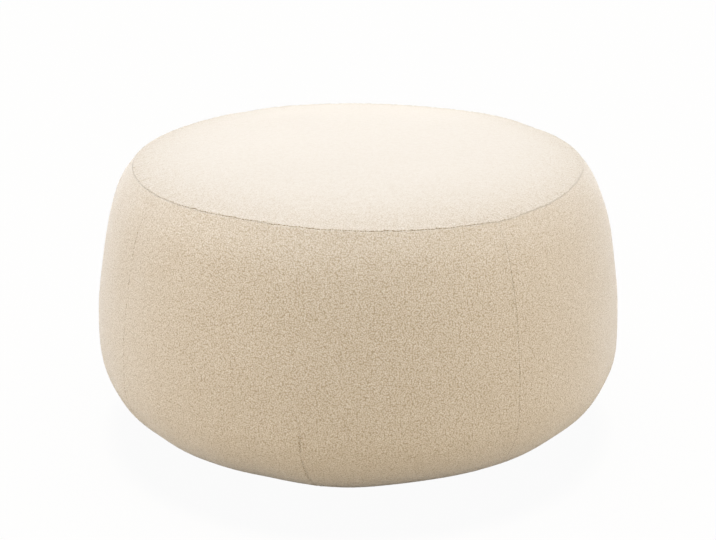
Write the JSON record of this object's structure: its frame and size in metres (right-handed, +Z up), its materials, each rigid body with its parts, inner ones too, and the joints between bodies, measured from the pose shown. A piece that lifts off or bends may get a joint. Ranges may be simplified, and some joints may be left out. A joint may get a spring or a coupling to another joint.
{
  "type": "boucle pouf",
  "caption": "Low round floor pouf in cream boucle, with a gently crowned top, seamed sides drawn in by darts over a flat base. Used as a footstool or a low seat.",
  "frame": {"origin": "on the floor, under the middle of the pouf", "axes": "+Z up; the dart of side_panel_1 faces -Y, and the upright seams stand midway between the X and Y axes"},
  "size_m": [0.6998, 0.6998, 0.3996],
  "materials": {
    "boucle": "cream looped boucle pile, matt",
    "base_cloth": "plain woven base cloth, matt"
  },
  "bodies": {
    "root": {"top_panel": "boucle", "side_panel_1": "boucle", "side_panel_2": "boucle", "side_panel_3": "boucle", "side_panel_4": "boucle", "base_panel": "base_cloth"}
  },
  "joints": []
}
